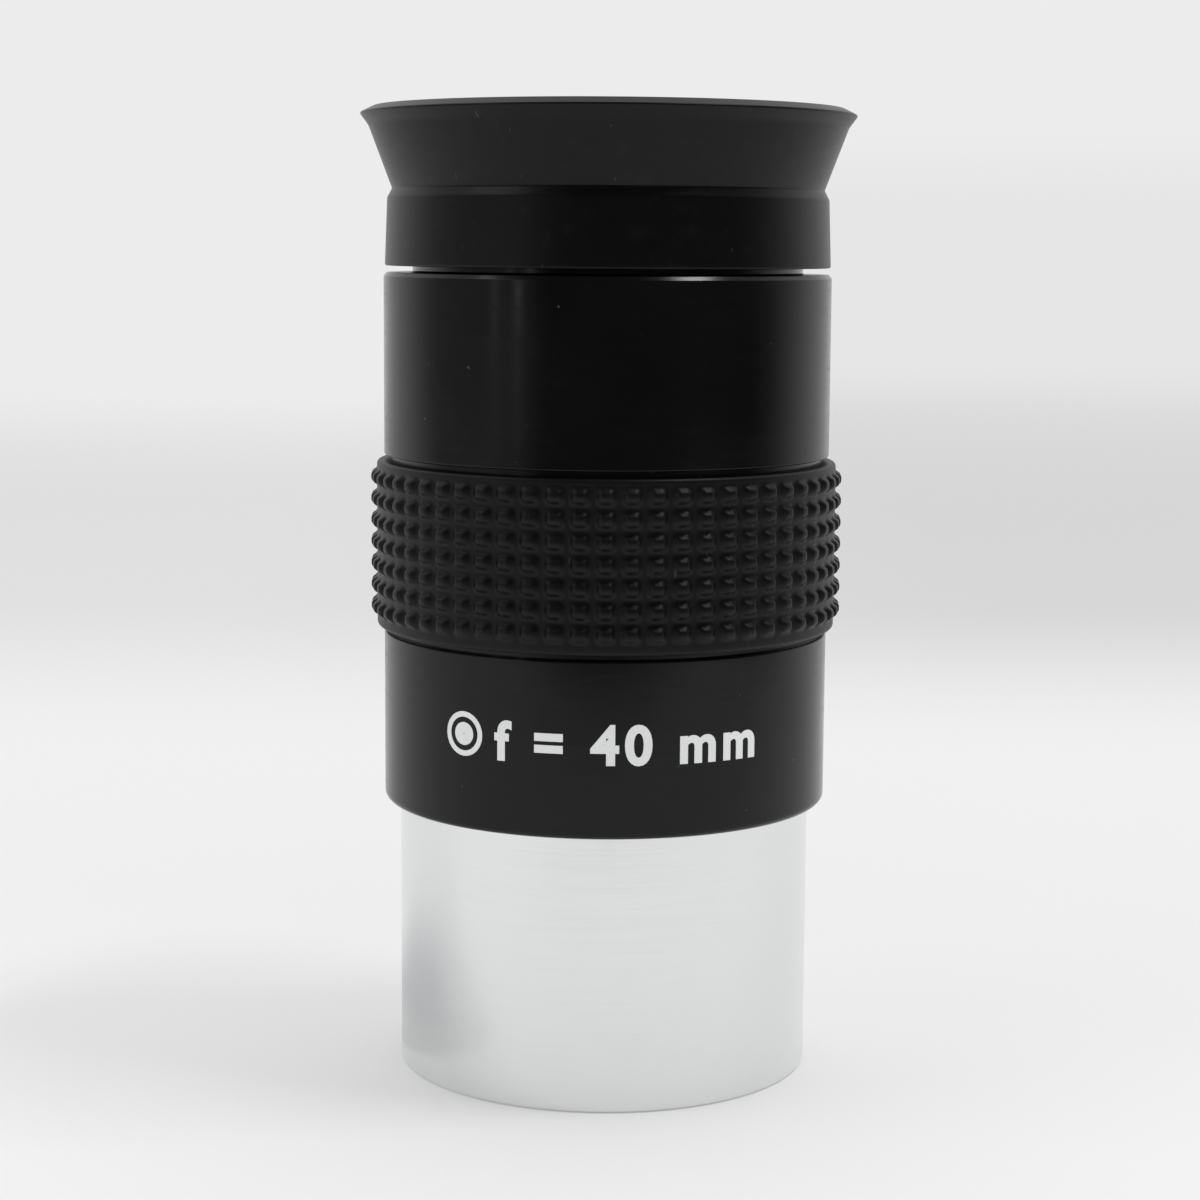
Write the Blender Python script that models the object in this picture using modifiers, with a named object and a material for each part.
"""A 1.25 inch telescope eyepiece: rubber fold-down eyecup, black body with a studded grip band, chromed
barrel, and two cemented doublets in a cell with their rings and field stop.

The barrel's lower rim stands on z = 0, and the optical axis is +Z, towards the observer's eye.
Every piece is turned about that axis. Neighbouring pieces keep a gap of GAP, also where the real ones
are screwed, pressed or cemented together."""

import math

import bmesh
import bpy

MM = 0.001
GAP = 0.3 * MM

# Barrel: the 31.75 mm standard, with the M28.5 x 0.6 filter thread in its mouth
BARREL_RADIUS = 15.875 * MM
BARREL_BORE_RADIUS = 14.1 * MM
BARREL_EDGE = 0.3 * MM
FILTER_THREAD_MAJOR_RADIUS = 14.25 * MM
FILTER_THREAD_MINOR_RADIUS = 13.93 * MM
FILTER_THREAD_PITCH = 0.6 * MM
FILTER_THREAD_TURNS = 5
FILTER_THREAD_START = 0.5 * MM
SPIGOT_RADIUS = 14.9 * MM
SPIGOT_LENGTH = 6.0 * MM

# Body tube
BODY_RADIUS = 17.1 * MM
BODY_BORE_RADIUS = 14.5 * MM
BODY_BOTTOM = 20.8 * MM
BODY_BOTTOM_EDGE = 0.6 * MM
SEAT_RECESS_RADIUS = 16.1 * MM
SEAT_RECESS_DEPTH = 0.5 * MM
BODY_SHOULDER = 61.3 * MM
BODY_TOP_EDGE = 0.4 * MM
GRIP_GROOVE_DEPTH = 0.5 * MM
NECK_RADIUS = 14.9 * MM
NECK_TOP = 66.6 * MM
NECK_BORE_RADIUS = 12.6 * MM
NECK_MOUTH_RADIUS = 13.6 * MM

# Grip band
GRIP_GROOVE_BOTTOM = 33.9 * MM
GRIP_GROOVE_TOP = 47.5 * MM
GRIP_BOTTOM = 34.35 * MM
GRIP_TOP = 47.05 * MM
GRIP_RADIUS = 17.65 * MM
GRIP_RIDGE_HEIGHT = 0.45 * MM
GRIP_RIDGE_WIDTH = 1.15 * MM
GRIP_RIDGE_PITCH = 1.655 * MM
GRIP_RIDGE_ROWS = 7
GRIP_RIDGE_MIDDLE = 40.83 * MM
GRIP_EDGE = 0.3 * MM

# Eyecup
COLLAR_RADIUS = 17.0 * MM
COLLAR_BOTTOM = 61.8 * MM
COLLAR_TOP = 67.6 * MM
COLLAR_EDGE = 0.5 * MM
COLLAR_LIP_RADIUS = 14.0 * MM
FLARE_BASE_RADIUS = 16.45 * MM
FLARE_TOP_RADIUS = 18.1 * MM
FLARE_THICKNESS = 1.15 * MM
LIP_RADIUS = 18.87 * MM
LIP_WIDEST = 73.1 * MM
LIP_TOP = 73.7 * MM
LIP_TOP_RADIUS = 18.2 * MM
LIP_BOTTOM = 72.2 * MM
LIP_BOTTOM_RADIUS = 18.2 * MM
LIP_BORE_RADIUS = 17.5 * MM

# Optics: two equal doublets, crowns facing each other
LENS_RADIUS = 13.2 * MM
CROWN_INNER_CURVE = 33.5 * MM
CEMENTED_CURVE = 48.0 * MM
FLINT_THICKNESS = 2.0 * MM
CROWN_EDGE_THICKNESS = 1.9 * MM
VERTEX_GAP = 0.6 * MM
EYE_LENS_TOP = 59.6 * MM

# Cell and rings
CELL_WALL = 0.7 * MM
CELL_LIP = 0.7 * MM
CELL_LIP_RADIUS = 12.5 * MM
SPACER_RADIUS = 12.5 * MM
RETAINER_HEIGHT = 2.0 * MM
RETAINER_BORE_RADIUS = 12.0 * MM
CELL_RETAINER_BORE_RADIUS = 12.9 * MM
SPANNER_SLOT_WIDTH = 1.6 * MM
SPANNER_SLOT_DEPTH = 0.8 * MM
FIELD_STOP_RADIUS = 13.0 * MM
FIELD_STOP_Z = 7.1 * MM
FIELD_STOP_HEIGHT = 1.2 * MM

# How finely the round pieces are divided
OUTER_STEPS = 48
INNER_STEPS = 36
LENS_ARC_STEPS = 4


def clear_scene():
    for obj in list(bpy.data.objects):
        bpy.data.objects.remove(obj, do_unlink=True)


def new_collection(name):
    collection = bpy.data.collections.new(name)
    bpy.context.scene.collection.children.link(collection)
    return collection


def new_material(name, color, roughness, metallic, transmission=0.0):
    material = bpy.data.materials.new(name)
    material.use_nodes = True
    shader = material.node_tree.nodes["Principled BSDF"]
    shader.inputs["Base Color"].default_value = (*color, 1.0)
    shader.inputs["Roughness"].default_value = roughness
    shader.inputs["Metallic"].default_value = metallic
    shader.inputs["Transmission Weight"].default_value = transmission
    material.diffuse_color = (*color, 1.0)
    return material


def new_empty(name, location):
    empty = bpy.data.objects.new(name, None)
    empty.empty_display_size = 0.01
    empty.location = location
    PARTS.objects.link(empty)
    return empty


def turned(name, outline, material, parent, closed=True, steps=INNER_STEPS):
    """A solid turned about Z. The outline is (radius, height) points: down the outer side, up the inner.
    An open outline begins and ends on the axis."""
    mesh = bpy.data.meshes.new(name)
    points = [(radius, 0.0, height) for radius, height in outline]
    edges = [(i, i + 1) for i in range(len(points) - 1)]
    if closed:
        edges.append((len(points) - 1, 0))
    mesh.from_pydata(points, edges, [])
    mesh.materials.append(material)
    obj = bpy.data.objects.new(name, mesh)
    obj.parent = parent
    obj.matrix_parent_inverse = parent.matrix_world.inverted()
    PARTS.objects.link(obj)
    screw = obj.modifiers.new("turned", "SCREW")
    screw.axis = "Z"
    screw.angle = 2 * math.pi
    screw.steps = steps
    screw.render_steps = steps
    screw.use_merge_vertices = True
    screw.merge_threshold = 0.00001
    screw.use_smooth_shade = True
    return obj


def ring(name, outer, inner, bottom, top, material, parent, steps=INNER_STEPS):
    outline = [(outer, top), (outer, bottom), (inner, bottom), (inner, top)]
    return turned(name, outline, material, parent, steps=steps)


def rounded_corner(center, radius, start_degrees, end_degrees, steps=3):
    """Points on an arc of the outline, measured from +radius towards +height."""
    points = []
    for i in range(steps + 1):
        angle = math.radians(start_degrees + (end_degrees - start_degrees) * i / steps)
        points.append((center[0] + radius * math.cos(angle), center[1] + radius * math.sin(angle)))
    return points


def sag(curve, radius):
    """How far a spherical lens surface falls back from its vertex at this radius."""
    return curve - math.sqrt(curve * curve - radius * radius)


def cut_spanner_slots(obj, bottom):
    """Two slots across the lower face of a retaining ring, for a pin spanner."""
    mesh = bpy.data.meshes.new(obj.name + "_slots")
    shape = bmesh.new()
    bmesh.ops.create_cube(shape, size=1.0)
    size = (3 * BODY_RADIUS, SPANNER_SLOT_WIDTH, 2 * SPANNER_SLOT_DEPTH)
    bmesh.ops.scale(shape, vec=size, verts=shape.verts)
    bmesh.ops.translate(shape, vec=(0, 0, bottom), verts=shape.verts)
    shape.to_mesh(mesh)
    shape.free()
    cutter = bpy.data.objects.new(mesh.name, mesh)
    CUTTERS.objects.link(cutter)
    cutter.hide_render = True
    cutter.display_type = "WIRE"
    boolean = obj.modifiers.new("spanner_slots", "BOOLEAN")
    boolean.operation = "DIFFERENCE"
    boolean.object = cutter


def make_barrel():
    """Chromed tube with the filter thread's grooves in its mouth and a spigot that screws into the body."""
    top = BODY_BOTTOM + SEAT_RECESS_DEPTH - GAP
    outline = [
        (SPIGOT_RADIUS, top + SPIGOT_LENGTH),
        (SPIGOT_RADIUS, top),
        (BARREL_RADIUS, top),
        (BARREL_RADIUS, BARREL_EDGE),
        (BARREL_RADIUS - BARREL_EDGE, 0.0),
        (FILTER_THREAD_MAJOR_RADIUS, 0.0),
    ]
    for turn in range(FILTER_THREAD_TURNS):
        start = FILTER_THREAD_START + turn * FILTER_THREAD_PITCH
        outline.append((FILTER_THREAD_MINOR_RADIUS, start))
        outline.append((FILTER_THREAD_MAJOR_RADIUS, start + FILTER_THREAD_PITCH / 2))
    end = FILTER_THREAD_START + FILTER_THREAD_TURNS * FILTER_THREAD_PITCH
    outline.append((FILTER_THREAD_MINOR_RADIUS, end))
    outline.append((BARREL_BORE_RADIUS, end + FILTER_THREAD_PITCH / 2))
    outline.append((BARREL_BORE_RADIUS, top + SPIGOT_LENGTH))
    turned("barrel", outline, CHROME, HOUSING, steps=OUTER_STEPS)


def make_field_stop():
    """Thin-edged ring at the focal plane: it gives the view its sharp round border."""
    bottom = FIELD_STOP_Z
    outer = BARREL_BORE_RADIUS - GAP
    outline = [
        (outer, bottom + FIELD_STOP_HEIGHT),
        (outer, bottom),
        (FIELD_STOP_RADIUS, bottom),
        (FIELD_STOP_RADIUS, bottom + FIELD_STOP_HEIGHT / 4),
        (FIELD_STOP_RADIUS + 0.3 * MM, bottom + FIELD_STOP_HEIGHT),
    ]
    turned("field_stop", outline, BLACK_METAL, HOUSING)


def make_body_tube():
    """Tube with a recess and a socket for the barrel, a groove for the grip band and a neck for the eyecup."""
    groove_radius = BODY_RADIUS - GRIP_GROOVE_DEPTH
    top_corner = (BODY_RADIUS - BODY_TOP_EDGE, BODY_SHOULDER - BODY_TOP_EDGE)
    bottom_corner = (BODY_RADIUS - BODY_BOTTOM_EDGE, BODY_BOTTOM + BODY_BOTTOM_EDGE)
    socket_radius = SPIGOT_RADIUS + GAP
    recess_top = BODY_BOTTOM + SEAT_RECESS_DEPTH
    socket_top = recess_top + SPIGOT_LENGTH
    cell_top = EYE_LENS_TOP + GAP + CELL_LIP
    outline = [(NECK_RADIUS, NECK_TOP), (NECK_RADIUS, BODY_SHOULDER)]
    outline += rounded_corner(top_corner, BODY_TOP_EDGE, 90, 0)
    outline += [
        (BODY_RADIUS, GRIP_GROOVE_TOP),
        (groove_radius, GRIP_GROOVE_TOP),
        (groove_radius, GRIP_GROOVE_BOTTOM),
        (BODY_RADIUS, GRIP_GROOVE_BOTTOM),
    ]
    outline += rounded_corner(bottom_corner, BODY_BOTTOM_EDGE, 0, -90)
    outline += [
        (SEAT_RECESS_RADIUS, BODY_BOTTOM),
        (SEAT_RECESS_RADIUS, recess_top),
        (socket_radius, recess_top),
        (socket_radius, socket_top),
        (BODY_BORE_RADIUS, socket_top),
        (BODY_BORE_RADIUS, cell_top + GAP),
        (NECK_BORE_RADIUS, cell_top + GAP),
        (NECK_MOUTH_RADIUS, NECK_TOP),
    ]
    turned("body_tube", outline, BODY_BLACK, HOUSING, steps=OUTER_STEPS)


def make_grip_band():
    """Rubber band in the body's groove, with one ridge for each row of studs."""
    inner = BODY_RADIUS - GRIP_GROOVE_DEPTH + GAP
    peak = GRIP_RADIUS + GRIP_RIDGE_HEIGHT
    outline = [(GRIP_RADIUS - GRIP_EDGE, GRIP_TOP), (GRIP_RADIUS, GRIP_TOP - GRIP_EDGE)]
    for row in range(GRIP_RIDGE_ROWS):
        middle = GRIP_RIDGE_MIDDLE + ((GRIP_RIDGE_ROWS - 1) / 2 - row) * GRIP_RIDGE_PITCH
        outline += [
            (GRIP_RADIUS, middle + GRIP_RIDGE_WIDTH / 2),
            (peak, middle + GRIP_RIDGE_WIDTH / 4),
            (peak, middle - GRIP_RIDGE_WIDTH / 4),
            (GRIP_RADIUS, middle - GRIP_RIDGE_WIDTH / 2),
        ]
    outline += [
        (GRIP_RADIUS, GRIP_BOTTOM + GRIP_EDGE),
        (GRIP_RADIUS - GRIP_EDGE, GRIP_BOTTOM),
        (inner, GRIP_BOTTOM),
        (inner, GRIP_TOP),
    ]
    turned("grip_band", outline, RUBBER, HOUSING, steps=OUTER_STEPS)


def make_eyecup():
    """Collar round the neck, thin flare above it, and the lip that is folded down over the collar."""
    bore = NECK_RADIUS + GAP
    corner = (COLLAR_RADIUS - COLLAR_EDGE, COLLAR_TOP - COLLAR_EDGE)
    outline = rounded_corner(corner, COLLAR_EDGE, 90, 0)
    outline += [
        (COLLAR_RADIUS, COLLAR_BOTTOM),
        (bore, COLLAR_BOTTOM),
        (bore, NECK_TOP + GAP),
        (COLLAR_LIP_RADIUS, NECK_TOP + GAP),
        (COLLAR_LIP_RADIUS, COLLAR_TOP),
    ]
    turned("eyecup_collar", outline, RUBBER, HOUSING, steps=OUTER_STEPS)

    bottom = COLLAR_TOP + GAP
    top = LIP_BOTTOM - GAP
    outline = [
        (FLARE_TOP_RADIUS, top),
        (FLARE_BASE_RADIUS, bottom),
        (FLARE_BASE_RADIUS - FLARE_THICKNESS, bottom),
        (FLARE_TOP_RADIUS - FLARE_THICKNESS, top),
    ]
    turned("eyecup_flare", outline, RUBBER, HOUSING, steps=OUTER_STEPS)

    outline = [
        (LIP_TOP_RADIUS, LIP_TOP),
        (LIP_RADIUS, LIP_WIDEST),
        (LIP_BOTTOM_RADIUS, LIP_BOTTOM),
        (LIP_BORE_RADIUS, LIP_BOTTOM),
        (LIP_BORE_RADIUS, LIP_WIDEST),
    ]
    turned("eyecup_lip", outline, RUBBER, EYECUP_FOLD, steps=OUTER_STEPS)


def lens_arc(curve, vertex, direction, outward):
    """Points along a spherical surface. direction is -1 where the surface falls away downwards."""
    points = []
    for i in range(LENS_ARC_STEPS + 1):
        radius = LENS_RADIUS * i / LENS_ARC_STEPS
        points.append((radius, vertex + direction * sag(curve, radius)))
    return points if outward else points[::-1]


def make_doublet(prefix, flint_top, crown_is_below):
    """Flint and crown. The flint's outer side is flat, and the crown's strong side faces the other doublet."""
    crown_thickness = (
        CROWN_EDGE_THICKNESS + sag(CEMENTED_CURVE, LENS_RADIUS) + sag(CROWN_INNER_CURVE, LENS_RADIUS)
    )
    if crown_is_below:
        cemented = flint_top - FLINT_THICKNESS
        flint = [(0.0, flint_top), (LENS_RADIUS, flint_top)] + lens_arc(CEMENTED_CURVE, cemented, -1, False)
        crown_top = cemented - GAP
        crown_bottom = crown_top - crown_thickness
        crown = lens_arc(CEMENTED_CURVE, crown_top, -1, True) + lens_arc(CROWN_INNER_CURVE, crown_bottom, 1, False)
        lowest = crown_bottom
    else:
        crown_top = flint_top
        crown_bottom = crown_top - crown_thickness
        crown = lens_arc(CROWN_INNER_CURVE, crown_top, -1, True) + lens_arc(CEMENTED_CURVE, crown_bottom, 1, False)
        cemented = crown_bottom - GAP
        lowest = cemented - FLINT_THICKNESS
        flint = lens_arc(CEMENTED_CURVE, cemented, 1, True) + [(LENS_RADIUS, lowest), (0.0, lowest)]
    turned(prefix + "_flint", flint, GLASS, HOUSING, closed=False)
    turned(prefix + "_crown", crown, GLASS, HOUSING, closed=False)
    return lowest


def make_optics():
    """Lenses, spacer, cell and the two slotted rings, from the eye end down."""
    eye_crown_vertex = make_doublet("eye_lens", EYE_LENS_TOP, True)
    field_crown_vertex = eye_crown_vertex - VERTEX_GAP
    field_lens_bottom = make_doublet("field_lens", field_crown_vertex, False)

    edge_sag = sag(CROWN_INNER_CURVE, SPACER_RADIUS)
    spacer_top = eye_crown_vertex + edge_sag - GAP
    spacer_bottom = field_crown_vertex - edge_sag + GAP
    ring("lens_spacer", LENS_RADIUS, SPACER_RADIUS, spacer_bottom, spacer_top, BLACK_METAL, HOUSING)

    retainer_top = field_lens_bottom - GAP
    retainer_bottom = retainer_top - RETAINER_HEIGHT
    retainer = ring("lens_retainer", LENS_RADIUS, RETAINER_BORE_RADIUS, retainer_bottom, retainer_top,
                    BLACK_METAL, HOUSING)
    cut_spanner_slots(retainer, retainer_bottom)

    cell_bore = LENS_RADIUS + GAP
    cell_radius = cell_bore + CELL_WALL
    cell_top = EYE_LENS_TOP + GAP + CELL_LIP
    outline = [
        (cell_radius, cell_top),
        (cell_radius, retainer_bottom),
        (cell_bore, retainer_bottom),
        (cell_bore, EYE_LENS_TOP + GAP),
        (CELL_LIP_RADIUS, EYE_LENS_TOP + GAP),
        (CELL_LIP_RADIUS, cell_top),
    ]
    turned("lens_cell", outline, BLACK_METAL, HOUSING)

    cell_retainer_top = retainer_bottom - GAP
    cell_retainer_bottom = cell_retainer_top - RETAINER_HEIGHT
    cell_retainer = ring("cell_retainer", cell_radius, CELL_RETAINER_BORE_RADIUS, cell_retainer_bottom,
                         cell_retainer_top, BLACK_METAL, HOUSING)
    cut_spanner_slots(cell_retainer, cell_retainer_bottom)


clear_scene()
PARTS = new_collection("telescope_eyepiece")
CUTTERS = new_collection("cutters")
CHROME = new_material("chrome", (0.78, 0.79, 0.80), 0.3, 1.0)
BODY_BLACK = new_material("body_black", (0.012, 0.012, 0.013), 0.25, 0.0)
BLACK_METAL = new_material("black_metal", (0.02, 0.02, 0.022), 0.5, 0.6)
RUBBER = new_material("rubber", (0.03, 0.03, 0.032), 0.7, 0.0)
GLASS = new_material("glass", (0.85, 0.9, 0.88), 0.02, 0.0, transmission=1.0)
HOUSING = new_empty("housing", (0.0, 0.0, 0.0))
EYECUP_FOLD = new_empty("eyecup_fold", (0.0, 0.0, LIP_WIDEST))
bpy.context.view_layer.update()

make_barrel()
make_field_stop()
make_body_tube()
make_grip_band()
make_eyecup()
make_optics()
